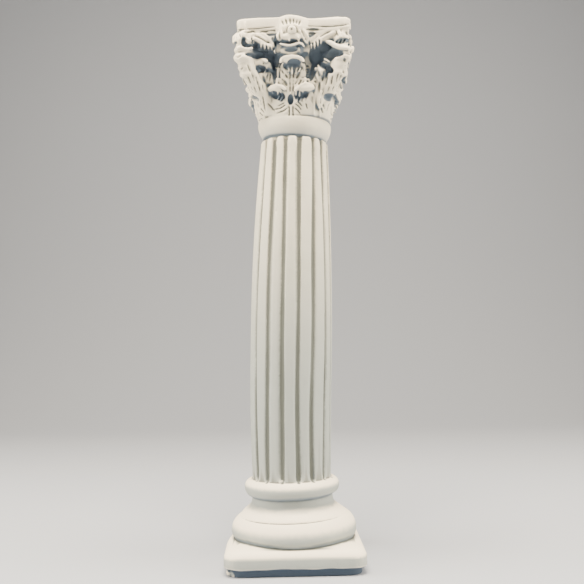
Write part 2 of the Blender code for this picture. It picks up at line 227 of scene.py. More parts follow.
def turnedForm(profile, tilt=None):
    radii, heights = np.array(profile).T
    bottom, top = heights[0], heights[-1]
    first, last = bottom - turning["margin"], top + turning["margin"]
    rs = np.arange(0, turning["reach"], cell)
    hs = np.arange(first, last, cell)
    spotR, spotH = np.meshgrid(rs, hs, indexing="ij")
    gap = np.full(spotR.shape, turning["far"])
    for r0, h0, dr, dh in zip(radii, heights, np.diff(radii), np.diff(heights)):
        t = np.clip(((spotR - r0) * dr + (spotH - h0) * dh) / (dr * dr + dh * dh), 0, 1)
        gap = np.minimum(gap, np.hypot(spotR - r0 - t * dr, spotH - h0 - t * dh))
    gap = np.where(spotR < np.interp(spotH, heights, radii), -gap, gap)
    gap = np.maximum(gap, np.maximum(bottom - spotH, spotH - top)).astype(np.float32)
    for k in layersBetween(first, last):
        x, h = layer(k)
        if tilt:
            h = h + x * tilt(zs[k])
        r = np.sqrt(x**2 + ys[None, :] ** 2) / cell
        h = np.broadcast_to(np.clip((h - hs[0]) / cell, 0, len(hs) - 1.001), r.shape)
        i, j = r.astype(int), h.astype(int)
        u, v = r - i, h - j
        near = gap[i, j] * (1 - u) * (1 - v) + gap[i + 1, j] * u * (1 - v)
        near += gap[i, j + 1] * (1 - u) * v + gap[i + 1, j + 1] * u * v
        field[:, :, k] = np.minimum(field[:, :, k], near)


def readOut(items, name, width, kind=np.float32):
    values = np.empty(len(items) * width, kind)
    items.foreach_get(name, values)
    return values.reshape(-1, width)


# Capital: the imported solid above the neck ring, as distances, with its edges softened as in a cast
capital = dict(
    foot=212.0,  # mm, just above the ring's top edge
    softening=3,  # passes of smoothing, each about 0.2 mm
)


def softened(first, last, passes):
    block = field[:, :, first:last]
    for _ in range(passes):
        for axis in range(3):
            moved = np.moveaxis(block, axis, 0)
            mixed = moved.copy()
            mixed[1:-1] = 0.25 * moved[:-2] + 0.5 * moved[1:-1] + 0.25 * moved[2:]
            block = np.moveaxis(mixed, 0, axis)
    field[:, :, first:last] = block


def startFromSolid():
    mesh = frame["nodes"]["plaster_column"].data
    mesh.calc_loop_triangles()
    triangles = readOut(mesh.loop_triangles, "vertices", 3, np.int32).astype(np.uint32)
    grid = vdb.FloatGrid.createLevelSetFromPolygons(
        readOut(mesh.vertices, "co", 3) * 1000, triangles=triangles,
        transform=vdb.createLinearTransform(voxelSize=cell), halfWidth=band / cell)
    foot = int((capital["foot"] - low[2]) / cell)
    block = np.empty((len(xs), len(ys), len(zs) - foot), np.float32)
    start = np.round(low / cell).astype(int)
    grid.copyToArray(block, ijk=(int(start[0]), int(start[1]), int(start[2]) + foot))
    field[:, :, foot:] = block
    softened(foot, None, capital["softening"])


startFromSolid()
print("capital roughed out")

# Turned parts, in mm: radius, height
base = dict(
    profile=(
        (25, 8), (27.6, 11), (28.7, 11.8), (29.4, 12.7), (29.8, 13.7), (29.95, 14.7), (29.9, 15.8),
        (29.7, 16.9), (29.4, 17.9), (28.95, 18.9), (28.3, 19.9), (27.5, 20.8), (26.6, 21.6), (25.8, 22.2),
        (25.2, 22.7), (24.6, 23.3), (23.8, 24), (22.8, 24.8), (21.8, 25.5), (20.9, 26.2), (20.2, 26.9),
        (19.75, 27.7), (19.5, 28.7), (19.45, 29.8), (19.4, 30.7), (19, 31.05), (18.95, 31.25), (19.5, 31.4),
        (20.6, 31.7), (21.5, 32.2), (22.15, 32.9), (22.55, 33.7), (22.75, 34.5), (22.78, 35.4),
        (22.6, 36.4), (22.2, 37.3), (21.6, 38), (20.9, 38.5), (20.1, 38.85), (19.3, 39), (18.4, 39.1),
    ),
    tilt=(  # height, and how far it rises to the right, mm per mm
        (0, 0), (12, 0), (15, 0.016), (22, 0.027), (24, 0.014), (29, 0.012), (31, 0.042), (33, 0.018),
        (46, 0.015),
    ),
)
ring = dict(
    profile=(
        (13.6, 202.9), (15.2, 203.1), (15.7, 203.5), (16.1, 204.1), (16.5, 204.8), (16.95, 205.7),
        (17.35, 206.6), (17.68, 207.6), (17.9, 208.7), (18.02, 209.7), (17.98, 210.6), (17.75, 211.3),
        (17.35, 211.7), (16.9, 211.9), (16.9, 212.3), (17.5, 212.7), (17.9, 213.6), (18.5, 215.6),
        (19.1, 217.6), (19.7, 219.8), (20.2, 222), (20.8, 224.5), (21.4, 226.5), (21.8, 228.4),
    ),
    tiltFoot=0.040, tiltTop=0.018,  # thicker at the right, where its foot hangs lower
    tiltFrom=203, tiltRun=8,
)
shaft = dict(
    foot=38.6, height=164.2, belly=65.2,
    footRadius=18.9, bellyRadius=19.85, topRadius=16.3,
    bottom=36, top=205,  # it runs on inside the mouldings
    tongueFoot=201.5, tongueRun=1.7, tongueDrop=2.4,  # the ridges round off here, under the ring
)


def baseTilt(z):
    return -float(np.interp(z, *zip(*base["tilt"]))) - float(leanOf(z))


def ringTilt(z):
    share = float(ease((z - ring["tiltFrom"]) / ring["tiltRun"]))
    return ring["tiltFoot"] + (ring["tiltTop"] - ring["tiltFoot"]) * share


def shaftRadius(z):
    h, belly, widest = np.clip(z - shaft["foot"], 0, shaft["height"]), shaft["belly"], shaft["bellyRadius"]
    below, above = 1 - h / belly, (h - belly) / (shaft["height"] - belly)
    toFoot = widest - (widest - shaft["footRadius"]) * below**2
    toTop = widest - (widest - shaft["topRadius"]) * above**2
    return np.where(h < belly, toFoot, toTop)


def turnShaft():
    for k in layersBetween(shaft["bottom"], shaft["top"]):
        x, h = layer(k)
        r = np.sqrt(x**2 + ys[None, :] ** 2)
        drawnIn = shaft["tongueDrop"] * ease((h - shaft["tongueFoot"]) / shaft["tongueRun"])
        field[:, :, k] = np.minimum(field[:, :, k], r - shaftRadius(h) + drawnIn)


turnedForm(base["profile"], baseTilt)
turnShaft()
print("shaft and mouldings turned")

# Flutes: narrow, and cut by hand in the model, so that they wander and vary a little
flutes = dict(
    count=16, turn=9.4,  # the turn in degrees, all lengths in mm
    radius=0.95, sink=0.42,  # the cutter, and how deep its middle runs in the shaft
    foot=38.9, top=202.6, runIn=1.8, runOut=4.0,
    slope=2.2, slopeDeep=0.60,  # a wider and shallower cut that leans on one side of the groove
    wander=0.36,  # to each side
    stations=110, seed=4,
)


def cutFlutes():
    rng = np.random.default_rng(flutes["seed"])
    heights = np.linspace(flutes["foot"], flutes["top"], flutes["stations"])
    shift, lean, sink = shiftOf(heights), leanOf(heights), flutes["sink"]
    start = ease((heights - flutes["foot"]) / flutes["runIn"])
    end = ease((heights - flutes["top"] + flutes["runOut"]) / flutes["runOut"])
    for k in range(flutes["count"]):
        phase, pace = rng.uniform(0, 6.28, 4), rng.uniform(0.6, 1.5, 4)
        sway = sum(np.sin(phase[i] + heights / (19 + 17 * i) * pace[i]) for i in range(3)) / 2
        swell = 1 + 0.16 * np.sin(phase[3] + heights / 23 * pace[3]) + 0.05 * np.sin(phase[0] + heights / 5)
        radii = flutes["radius"] * swell * (0.60 + 0.40 * start) * (1 + 0.80 * end**2)
        out = shaftRadius(heights) + 0.5 * (1 - start) - sink * start
        angle = math.radians(flutes["turn"] + 360 / flutes["count"] * k) + flutes["wander"] * sway / out
        x, y = out * np.sin(angle), -out * np.cos(angle)
        draw(np.stack([x + shift, y, heights - x * lean], 1), radii, False, 0.3)
        side = rng.uniform(0.35, 0.95) * rng.choice((-1, 1)) * np.cos(heights / 60 + phase[1])
        angle = angle + side / out
        out = out + flutes["slope"] - flutes["slopeDeep"] + sink
        points = np.stack([out * np.sin(angle) + shift, -out * np.cos(angle), heights - x * lean], 1)
        draw(points[2:-4], np.full(len(heights) - 6, flutes["slope"]), False, 0.5)


cutFlutes()

# The thin line cut round the shelf of the base, wider at the front and back than at the sides
incised = dict(radius=25.75, height=22.25, tilt=0.027, thin=0.12, wide=0.46)


def cutLine(radius, height, tilt, thin, wide):
    angle = np.linspace(0, 2 * math.pi, 121)
    across, deep = radius * np.sin(angle), -radius * np.cos(angle)
    points = np.stack([across + float(shiftOf(height)), deep, height + tilt * across], 1)
    draw(points, thin + (wide - thin) * np.abs(np.cos(angle)), False, 0.12)


cutLine(**incised)
turnedForm(ring["profile"], ringTilt)
print("flutes cut")

# Plinth: a square block with a pillowed top, and a band round its foot that slopes in
plinth = dict(
    half=32.25, corner=6.6, turn=1.3, top=12.2,
    levels=(0, 2.9, 3.3, 3.6, 3.9, 4.6, 7.8, 8.8, 9.6, 10.3, 10.9, 11.5, 12.1),
    drawnIn=(2.0, 2.0, 1.7, 0.6, 0.15, 0.0, 0.0, 0.25, 0.7, 1.4, 2.6, 5.0, 10.0),
    waveTop=3.6,  # the band's upper edge is wavy
    blunt=((-32.2, -2), (0.9753, -0.2209), 1.5),  # the back left corner: place, way in and softness
)


def makePlinth():
    (c, s), corner = cosSin(plinth["turn"]), plinth["corner"]
    x, y = xs[:, None], ys[None, :]
    across, along = np.abs(x * c + y * s), np.abs(y * c - x * s)
    (bluntX, bluntY), (wayX, wayY), soft = plinth["blunt"]
    wave = 0.16 * np.sin(x / 4.1 + y / 5.3) + 0.12 * np.sin(x / 1.7 - y / 2.3 + 1)
    wave = wave - 0.3 * np.exp(-((x + 1) / 6) ** 2)

    def drawnIn(level):
        return np.interp(level, plinth["levels"], plinth["drawnIn"])

    for k in layersBetween(zs[0] - 1, plinth["top"] + 0.9):
        half = plinth["half"] - drawnIn(zs[k] + wave * (1 - ease((zs[k] - plinth["waveTop"]) / 2)))
        steep = (drawnIn(zs[k] + 0.3) - drawnIn(zs[k] - 0.3)) / 0.6
        flatEnd = half - corner
        a, b = across - flatEnd, along - flatEnd
        gap = np.hypot(np.maximum(a, 0), np.maximum(b, 0)) + np.minimum(np.maximum(a, b), 0) - corner
        gap = np.maximum(gap / math.hypot(1, steep), max(-zs[k], zs[k] - plinth["top"]))
        gap = cutAway(gap, (x - bluntX) * wayX + (y - bluntY) * wayY, soft)
        field[:, :, k] = added(field[:, :, k], gap, 0.25)


makePlinth()
print("plinth made")

# Carving, read off the photograph's frame in its own pixels and laid on the casting where the
# camera sees it. The other sides get the same carving, turned about the capital's axis.
pxSize = 0.46  # mm that a pixel covers on the capital
axisPlace = np.array((3.95, 0.0))  # mm, where the capital's axis stands
rayRange = (338, 400)  # mm from the camera, where the casting is looked for
quarters = (0, 90, 180, 270)  # degrees
lowRow = (0, 108.3, 181.5, 254.8)  # the lower leaves are ten, so they don't follow the four sides
frontOnly = (0,)
carvingRng = np.random.default_rng(11)


def cameraRays(px, py, turned):
    turn, middle = np.array(cameraTurn().to_3x3()), view["frame"] / 2
    ways = [(px - middle) / view["focal"], (middle - py) / view["focal"], -np.ones(len(px))]
    ways = np.stack(ways, 1) @ turn.T
    ways /= np.linalg.norm(ways, axis=1)[:, None]
    centre = np.array((*axisPlace, 0.0))
    quarter = np.array(Matrix.Rotation(math.radians(turned), 3, "Z"))
    start = quarter @ (np.array(view["place"]) - centre) + centre
    return start, ways @ quarter.T, quarter @ turn


def fieldAt(spots):
    index = np.clip(np.round((spots - low) / cell).astype(int), 0, np.array(field.shape) - 1)
    return field[index[..., 0], index[..., 1], index[..., 2]]


def fieldBetween(spots):
    where = np.clip((spots - low) / cell, 0, np.array(field.shape) - 1.001)
    index = where.astype(int)
    share = (where - index).T
    total = 0
    for i, j, k in np.ndindex(2, 2, 2):
        weight = abs(1 - i - share[0]) * abs(1 - j - share[1]) * abs(1 - k - share[2])
        total = total + weight * field[index[:, 0] + i, index[:, 1] + j, index[:, 2] + k]
    return total


# Where the rays through these pixels first meet the casting, moved towards the camera by lift
def touch(start, ways, lift):
    steps = np.arange(*rayRange, cell)
    deep = fieldAt(start + ways[:, None, :] * steps[None, :, None])
    hit = deep < 0
    first = np.maximum(hit.argmax(1), 1)
    rows = np.arange(len(first))
    before, after = deep[rows, first - 1], deep[rows, first]
    reach = steps[first] - cell * np.clip(-after / np.maximum(before - after, 1e-6), 0, 1)
    return start + ways * (reach - lift)[:, None], hit.any(1)


# Points seen at these pixels: "on" the casting and lifted by where, or at the distance where from
# the capital's axis, measured "round" it or "flat" towards the side's front
def placed(px, py, turned, where, kind):
    start, ways, axes = cameraRays(np.asarray(px, float), np.asarray(py, float), turned)
    where = np.broadcast_to(np.asarray(where, float), len(ways))
    if kind == "on":
        points, met = touch(start, ways, where)
    elif kind == "flat":
        out = np.array(Matrix.Rotation(math.radians(turned), 3, "Z")) @ np.array((0, -1.0, 0))
        away = where - (start[:2] - axisPlace) @ out[:2]
        points = start + ways * (away / (ways @ out))[:, None]
        met = np.ones(len(ways), bool)
    else:
        off = start[:2] - axisPlace
        a, b, c = (ways[:, :2] ** 2).sum(1), ways[:, :2] @ off, off @ off - where**2
        inside = b * b - a * c
        points = start + ways * ((-b - np.sqrt(np.maximum(inside, 0))) / a)[:, None]
        met = inside > 0
    return points, met, axes


# Even marks along a path of pixels, given as across, down, across, down, and their share of its
# length. A path with a bend is followed as a smooth curve.
def spread(path):
    path = np.array(path, float).reshape(-1, 2)
    runs = np.hypot(*(path[1:] - path[:-1]).T)
    far = np.concatenate([[0], np.cumsum(runs)])
    marks = np.linspace(0, far[-1], max(3, int(far[-1] / 1.2) + 1))
    stops, curve = far, path
    if len(path) > 2:
        stops = np.linspace(0, far[-1], 12 * len(path))
        curve = np.stack([np.interp(stops, far, path[:, i]) for i in range(2)], 1)
        for _ in range(6):
            curve[1:-1] = 0.25 * curve[:-2] + 0.5 * curve[1:-1] + 0.25 * curve[2:]
    return np.stack([np.interp(marks, stops, curve[:, i]) for i in range(2)], 1), marks / far[-1]


# Strokes: (radius in mm, where, then the path in pixels); where may be a pair, for its start and its
# end. A raised stroke starts and ends on the casting, so an end that would hang in the air is left
# off. On the other sides each path is shifted a little, once for all the strokes that follow it.
def carve(strokes, raised, soft=0.3, taper=0.5, kind="on", turns=quarters, held=True):
    jobs, nudges = [], {}
    for turned in turns:
        for radius, where, *path in strokes:
            line, share = spread(path)
            key = (turned, *path)
            if turned and key not in nudges:
                nudges[key] = carvingRng.normal(0, 0.35, 2)
            line = line + nudges.get(key, 0)
            ends = where if isinstance(where, tuple) else (where, where)
            points, met, _ = placed(line[:, 0], line[:, 1], turned, np.interp(share, (0, 1), ends), kind)
            radii = radius * (taper + (1 - taper) * np.sqrt(np.clip(4 * share * (1 - share), 0, 1)))
            if raised and held and kind != "on":
                inside = np.flatnonzero(met & (fieldAt(points) < radii + 0.2))
                if len(inside) < 2:
                    continue
                met[:inside[0]] = False
                met[inside[-1] + 1:] = False
            jobs.append((points, radii, met))
    for points, radii, met in jobs:
        runs = np.flatnonzero(np.diff(np.concatenate([[0], met.astype(int), [0]])))
        for a, b in zip(runs[::2], runs[1::2]):
            part = points[a:b]
            leaps = np.flatnonzero(np.linalg.norm(np.diff(part, axis=0), axis=1) > 2.0) + 1
            for c, d in zip([0, *leaps], [*leaps, b - a]):
                if d - c > 1:
                    draw(part[c:d], radii[a:b][c:d], raised, soft)


# Fins: teeth and leaf fingers that stand out from the back wall of a hollow, each of them a stroke
# repeated from its front back to its rear: (radius in mm, front, rear, then the path in pixels)
def fins(rows, kind, turns=quarters):
    strokes = [(radius, where, *path) for radius, front, rear, *path in rows
               for where in np.arange(front, rear, -0.5)]
    carve(strokes, True, 0.15, 0.4, kind, turns, False)


hollows = []  # every cup that mould cuts: its centre, axes and half sizes


# Lumps: (pixel, half size in px across and up, turn in degrees, where, half depth in mm). Hollows lean,
# so that they rise under the lip above them.
def mould(lumps, raised, soft, kind, turns=quarters, lean=0):
    for turned in turns:
        for px, py, across, up, turn, where, depth in lumps:
            if turned:
                px, py = px + carvingRng.normal(0, 0.3), py + carvingRng.normal(0, 0.3)
            points, met, axes = placed([px], [py], turned, where, kind)
            if not met[0]:
                continue
            c, s = cosSin(turn)
            right, upward, back = axes.T
            side, rise = right * c + upward * s, upward * c - right * s
            c, s = cosSin(lean)
            rows = np.array((side, rise * c + back * s, back * c - rise * s))
            sizes = (across * pxSize, up * pxSize, depth)
            if not raised:
                hollows.append((points[0], rows, sizes))
            lump(points[0], rows, sizes, raised, soft, not raised)


# Room for the lower leaves, which are carved afresh: height and distance from the axis, mm
lowSpace = dict(heights=(211, 222, 226.5, 228.8, 230.6), room=(20.3, 20.7, 21.6, 22.6, 27))


def clearLowLeaves():
    heights = lowSpace["heights"]
    r = np.hypot(xs[:, None] - axisPlace[0], ys[None, :])
    for k in layersBetween(heights[0], heights[-1]):
        room = r - np.interp(zs[k], heights, lowSpace["room"])
        field[:, :, k] = cutAway(field[:, :, k], -np.minimum(room, band), 0.6)


clearLowLeaves()

# Corner leaves and scrolls: (distance from the axis, height, radius) along their body, and the lips
# on it as (distance, height, half sizes outwards, along and up), mm. Each corner reaches less or
# more far, from the front right one round to the front left.
corners = dict(
    angles=(44, 135, 225, -46),
    reaches=(0.95, 0.90, 0.90, 1.0),
    body=(
        (33, 245.2, 3.6), (32.9, 241, 3.6), (32.8, 236.8, 3.6), (31.2, 232.8, 3.5), (28.8, 229.4, 3.4),
        (25, 225.4, 3.6), (20.6, 221, 3.6), (17, 216, 3),
    ),
    lips=(
        (34.2, 245.2, 3.8, 4, 3.3), (35, 240.9, 3.4, 3, 1.7), (34.9, 237.2, 3.5, 3.8, 2.4),
        (32.7, 233.2, 3.4, 3.2, 1.9), (31.7, 230.2, 3.3, 3.4, 1.9),
    ),
)


def addCorners():
    axis = np.array((*axisPlace, 0))
    for angle, reach in zip(corners["angles"], corners["reaches"]):
        c, s = cosSin(angle)
        out, along = np.array((s, -c, 0)), np.array((c, s, 0))
        body = [out * far * reach + axis + np.array((0, 0, height)) for far, height, _ in corners["body"]]
        draw(body, [radius for _, _, radius in corners["body"]], True, 1.0)
        for far, height, *sizes in corners["lips"]:
            droop, sway = carvingRng.uniform(0.0, 0.3), carvingRng.uniform(-0.25, 0.25)
            tip = out * math.cos(droop) - np.array((0, 0, math.sin(droop)))
            rise = out * math.sin(droop) + np.array((0, 0, math.cos(droop)))
            c, s = math.cos(sway), math.sin(sway)
            rows = np.array((tip, along * c + rise * s, rise * c - along * s))
            lump(out * far * reach + axis + np.array((0, 0, height)), rows, sizes, True, 0.8)


addCorners()

# Clay added where the carving is fuller than the plain solid
mould((
    (292.2, 60.4, 10.6, 4.2, 0, 24.4, 1.9), (262, 64, 9.4, 3.9, -4, 26, 2),
    (330.5, 63.8, 7.6, 3.6, 6, 25.6, 1.8), (256, 77, 9, 6, 0, 22.9, 2.4), (262, 89, 9, 9, 0, 20.6, 1.9),
    (330, 77, 9, 6, 0, 22.9, 2.4), (325, 89, 9, 9, 0, 20.6, 1.9), (267.6, 77.6, 5.4, 8, 0, 21.5, 2.3),
    (320.6, 77.4, 5.6, 6.6, 0, 21.9, 2.3),
), True, 0.9, "round")
mould((
    (292, 29, 6.4, 6.4, 0, 27.2, 1.7), (291.4, 36.9, 10.8, 4.2, 2, 26.9, 1.5),
    (291.8, 50.4, 12, 5.8, 3, 23.4, 2.4), (281, 35, 4, 7, -8, 25.6, 1.8), (304, 36, 4.4, 8, 24, 25.4, 1.8),
    (271, 37.5, 5.6, 6.4, 0, 23, 1.9), (312, 37.5, 5.6, 6.4, 0, 22.8, 1.9),
    (259.6, 38.8, 9.4, 4.6, -26, 24.6, 1.6), (325, 36.4, 10, 4.2, 26, 24.4, 1.6),
), True, 0.8, "flat")
mould(((292, 29.2, 4.4, 4.2, 0, 28.4, 1.5),), True, 0.35, "flat")
mould((
    (277.3, 89, 9.8, 4.4, 4, 20.9, 1.9), (304.4, 88.2, 10.4, 4.6, 6, 21, 1.9),
), True, 0.8, "round", lowRow)
mould((
    (328.6, 91.8, 7.6, 4.6, -14, 21.2, 2.2), (254.4, 95.4, 6.4, 3, 8, 21.6, 1.9),
    (318.2, 95, 4.4, 14, 8, 19.9, 2),
), True, 0.8, "round", frontOnly)

# The wavy top edge of the slab: (pixel, distance towards the side's front) along it. A flat-faced rim
# is laid up to it, and the flower is cut down to it.
slab = dict(
    edge=(
        (236.5, 21, 25.6), (239, 18.8, 25.6), (242.5, 17.9, 25.6), (258.9, 17.2, 25.6), (272.5, 16.8, 25.8),
        (280.1, 15.1, 27.2), (285, 14.1, 27.4), (289.5, 13.7, 27.4), (297.1, 14.8, 27.4), (303.9, 16.6, 27),
        (313.2, 17.9, 25.6), (326.8, 16.8, 25.8), (337.8, 15.4, 26.2), (346.3, 15.9, 26.4),
        (350.5, 19.6, 26.4),
    ),
    face=25.75, deep=3.0, corner=0.7, reach=34.6,
    bottom=249.5, rimFoot=250.4,
)


def shapeSlab():
    edge = np.array(slab["edge"])
    points, _, _ = placed(edge[:, 0], edge[:, 1], 0, edge[:, 2], "flat")
    first = int((slab["bottom"] - low[2]) / cell)
    x, y = np.meshgrid(xs - axisPlace[0], ys, indexing="ij")
    tops, weights = 0, 0
    for turned in quarters:
        c, s = cosSin(turned)
        across, out = x * c + y * s, x * s - y * c
        top = np.interp(across, points[:, 0] - axisPlace[0], points[:, 2])
        weight = np.maximum(out, 0.1) ** 8
        tops, weights = tops + top * weight, weights + weight
        inwards = np.abs(out - slab["face"] + slab["deep"] / 2) - slab["deep"] / 2 + slab["corner"]
        inwards = np.maximum(inwards, np.hypot(x, y) - slab["reach"])
        for k in range(first, len(zs)):
            upwards = zs[k] - top + slab["corner"]
            rim = np.hypot(np.maximum(inwards, 0), np.maximum(upwards, 0))
            rim = rim + np.minimum(np.maximum(inwards, upwards), 0)
            rim = np.maximum(rim - slab["corner"], slab["rimFoot"] - zs[k])
            field[:, :, k] = added(field[:, :, k], np.minimum(rim, band), 0.3)
    for k in range(first, len(zs)):
        field[:, :, k] = cutAway(field[:, :, k], -np.minimum(zs[k] - tops / weights, band), 0.8)


shapeSlab()

# Deep hollows between and under the leaves
mould((
    (294, 63.6, 7, 4.9, 0, 25.6, 4.4), (261.2, 69.2, 5.8, 3.7, -20, 26.8, 5),
    (323.4, 66.4, 5.6, 2.8, -26, 26.4, 4.2), (330.2, 69.6, 4.8, 3.2, -14, 26.4, 4.2),
), False, 0.2, "round", lean=24)
mould((
    (274.8, 95.4, 5.6, 4.2, -24, 21.8, 4), (280, 97.6, 4.6, 4.2, -30, 21.8, 4),
    (299, 96.6, 4.6, 5, 8, 21.8, 4), (304.8, 95.2, 4.8, 3.8, 16, 21.8, 4),
), False, 0.2, "round", lowRow, lean=24)
mould(((290.6, 98.6, 3.2, 5.3, 0, 21.2, 4.4),), False, 0.25, "round", lowRow)
mould((
    (329.4, 98, 6.2, 4.4, -14, 25.2, 5.8), (254.6, 99.4, 4.8, 3.4, -10, 25.4, 6),
), False, 0.2, "round", frontOnly, lean=20)
mould((
    (273.4, 72, 1.5, 10, 3, 21.6, 3.2), (312.4, 70, 1.6, 10, -12, 21.6, 3.2),
    (269.6, 53, 5.4, 6.6, -24, 22.5, 6.6), (263, 54.4, 8, 5, 6, 23.5, 5.4),
    (252.6, 54.8, 8, 2.3, 8, 24.5, 3.8), (272.6, 60.4, 2.3, 7.2, 8, 22, 5),
    (316.4, 53.4, 7.4, 9.4, -8, 23, 6.6), (320.4, 48.2, 4.8, 6.2, -6, 23.5, 6),
    (313, 65.6, 1.9, 7.6, -14, 21.8, 3.6), (317.6, 62, 4.4, 4.6, 20, 22.5, 5),
    (244.2, 42.8, 3.2, 5.4, 4, 26.4, 3.8), (249.2, 46, 6.2, 2.1, 6, 26, 3.4),
    (341.6, 41, 8.4, 2.7, 12, 26.4, 3.4), (335.4, 52, 9, 4.6, -24, 25.2, 4.8),
    (331, 54.6, 5, 5, 0, 25.2, 4.8), (291.2, 49, 6.8, 2.4, 4, 26.2, 1.7), (303, 50.8, 2.8, 4.8, 14, 26, 2),
    (290.8, 41.3, 9.8, 0.9, 5, 27.4, 2.8), (292.2, 40.8, 4.4, 2, 5, 27.4, 3.6),
    (270.4, 34.2, 4.6, 1.5, 0, 25.6, 1.5), (272.8, 39.2, 1.3, 3.2, 14, 25.6, 1.5),
    (311.4, 35.2, 3.2, 1.4, 20, 25.4, 1.3), (328.4, 43.8, 2.4, 1.4, 30, 26, 3),
), False, 0.2, "flat")

# The solid middle of the bell, which keeps the hollows of neighbouring sides apart
core = ((15.5, 212.6), (16.6, 218), (17.4, 226), (17.8, 236), (18.4, 243), (18.8, 249))
turnedForm(core)
print("hollows cut")

# Lips, ribbons and ribs that stand up
carve((
    (0.85, 21.9, 267.2, 94.4, 267.8, 90, 271.4, 86.8, 277, 85.8, 282, 86.6, 285.4, 89.4, 286.6, 95),
    (0.85, 21.9, 293.6, 97, 295.2, 90.2, 298.8, 86.2, 303, 84.6, 308, 84.2, 312, 85.4, 314, 89),
), True, 0.3, 0.6, "round", lowRow)
carve((
    (0.8, 22.3, 321, 92.4, 323.4, 89.6, 327.6, 88.4, 332, 89.6, 335.6, 93, 337.4, 97.6, 339.6, 101),
    (0.75, 22.5, 248.6, 96.4, 251, 93.6, 254.6, 93, 258, 94.4, 260.4, 97.6),
), True, 0.3, 0.6, "round", frontOnly)
carve((
    (0.8, 25.6, 280.6, 63, 281.8, 58.8, 286, 57, 292, 56.4, 297.4, 57, 302, 58.8, 303.8, 63.4),
    (0.9, 27, 253.4, 64.4, 256, 61.6, 260, 60.4, 264.4, 60.4, 267.6, 62.2, 269.6, 66, 270.4, 71),
    (0.85, 25.6, 322.6, 58.8, 326, 60.2, 330.4, 62.4, 334.4, 64.4, 336.6, 68, 336, 72),
), True, 0.3, 0.6, "round")
carve((
    (0.8, (25.8, 23.8), 249.5, 37.5, 251, 35, 254, 33.9, 260, 33.4, 263.4, 34.6, 266.5, 37, 269.6, 40.6,
     272, 43.4, 275, 45.8),
    (1, (25.8, 23.6), 252, 38.2, 256, 39.4, 260.4, 42, 264, 44.6, 268, 45.4, 273.7, 46.8),
    (0.62, (27, 25.4), 240.6, 46.6, 244, 49, 248, 49.4, 252, 48.2, 256.4, 46.4),
    (0.8, (23.6, 26), 309.5, 41.5, 314, 37.5, 319, 34, 325, 30.8, 331, 29.4, 340, 29.2),
    (1.3, (23.2, 25.4), 312, 43, 317.5, 40, 322.5, 37.4, 328, 34.9, 335, 32.6),
    (1.1, (24.6, 27.2), 327, 41.5, 331, 43, 335, 45.8, 341, 47.8, 348, 48.4),
    (0.55, (25, 24.4), 300.2, 44.6, 299.4, 48.6, 300.6, 53, 303.4, 57),
    (0.55, (25, 24), 306.6, 44, 307.6, 49, 307.4, 54, 306.4, 58),
    (0.45, (25.4, 24.6), 322, 43, 324.6, 46, 326, 49.5),
), True, 0.3, 0.65, "flat")
carve((
    (0.6, 0.2, 303.8, 60, 304.2, 68, 304.8, 76, 305.4, 83),
    (0.6, 0.2, 280.6, 61, 279, 66, 278, 72, 277.2, 80, 276.4, 84),
    (0.55, 0.1, 299, 30, 302, 34, 304.5, 39, 307.5, 44, 309.5, 47),
    (0.5, 0.1, 302.8, 28.8, 306, 34, 308.6, 39, 310.6, 43),
    (0.6, 0.1, 277.4, 28.5, 277, 32, 277.4, 36, 278.6, 40), (0.45, 0.1, 281.4, 31, 281.4, 35, 282.2, 38.6),
    (0.5, 0.1, 291.7, 68, 291.6, 78, 291.7, 90, 290.6, 93),
), True, 0.4, 0.6)
carve((
    (0.5, 0.1, 318.5, 80, 316.5, 88, 314.5, 97, 313.8, 106, 313.8, 115),
    (0.45, 0.1, 322.6, 83, 320.8, 92, 319.6, 100, 319.2, 110, 319.8, 117),
), True, 0.4, 0.6, turns=lowRow)
print("lips and ribbons laid on")

# Leaf fingers and teeth in the mouths of the hollows
fins((
    (0.42, 23, 20.8, 288.4, 75, 289.2, 71, 288.6, 67.2), (0.46, 22.8, 20.6, 292, 75, 292.2, 70, 291.8, 66),
    (0.42, 22.8, 20.6, 295, 75, 296.4, 71, 297.2, 67),
    (0.38, 23, 20.8, 298.2, 73, 299.8, 69.8, 300.8, 67.2),
    (0.36, 24.8, 22.4, 263.6, 76, 264.6, 72, 266.2, 68.4), (0.36, 25.2, 22.6, 266.6, 66, 266.4, 69.6),
    (0.42, 24.2, 21.6, 321, 72, 319.2, 67.4, 317.6, 64.4),
    (0.4, 24.2, 21.8, 324.6, 74, 322.8, 70, 321.4, 66.6),
    (0.36, 24.2, 22, 327.6, 74, 326.4, 71, 325.2, 68.4),
), "round")
fins((
    (0.4, 21.6, 17.8, 272.4, 89, 272.8, 94.4), (0.4, 21.6, 17.8, 278.2, 89, 277.8, 95.4),
    (0.32, 21.4, 17.8, 275.2, 89.4, 275.3, 92.4), (0.34, 21.4, 17.8, 281.4, 89.8, 280.8, 93.8),
    (0.34, 19.9, 17.6, 276.6, 101.4, 278.8, 97.6, 280.6, 94.4),
    (0.34, 19.9, 17.6, 279.4, 102.6, 281.6, 98.8, 283.4, 95.2), (0.34, 19.9, 17.6, 282.4, 103, 284.8, 98.6),
    (0.38, 21.6, 17.8, 296.2, 90, 296, 96), (0.42, 21.4, 17.8, 299.4, 89, 299.4, 97),
    (0.36, 21.6, 17.8, 302.8, 88.6, 302.8, 93.4), (0.3, 21.6, 17.8, 306.4, 88.6, 306.6, 91.6),
    (0.36, 19.9, 17.6, 296, 103, 297.8, 97.6), (0.38, 19.9, 17.6, 299.4, 103, 301.4, 97.4),
    (0.36, 19.9, 17.6, 303, 101.6, 304.8, 96.8), (0.32, 19.9, 17.6, 306.4, 100.6, 307.8, 96.8),
), "round", lowRow)
